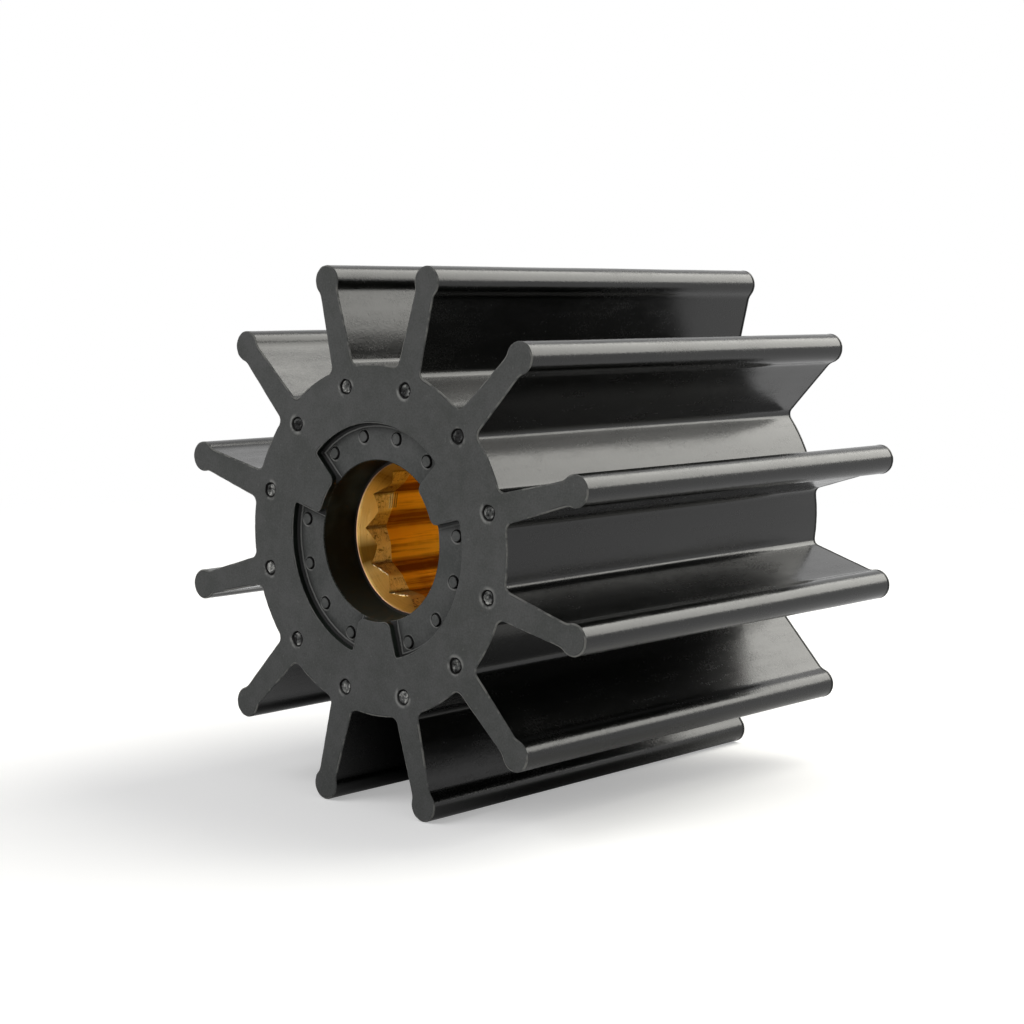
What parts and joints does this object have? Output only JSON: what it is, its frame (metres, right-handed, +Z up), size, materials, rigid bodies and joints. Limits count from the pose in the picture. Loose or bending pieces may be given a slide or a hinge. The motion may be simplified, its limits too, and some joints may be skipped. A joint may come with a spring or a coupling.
{
  "type": "rubber pump impeller",
  "caption": "Flexible rubber pump impeller with beaded blades on a round hub, moulded round a splined brass sleeve that takes the pump shaft.",
  "frame": {"origin": "on the shaft axis, halfway between the two end faces", "axes": "+Y along the shaft axis from the recessed front face to the plain rear face, +Z up, as it stands on its two lowest blade tips"},
  "size_m": [0.0922, 0.0888, 0.0922],
  "materials": {
    "rubber": "moulded black rubber, satin blade sides, matt grey trimmed end faces",
    "brass": "turned lead-in cone, broached spline"
  },
  "bodies": {
    "root": {"rubber_wheel": "rubber", "brass_sleeve": "brass"}
  },
  "joints": []
}
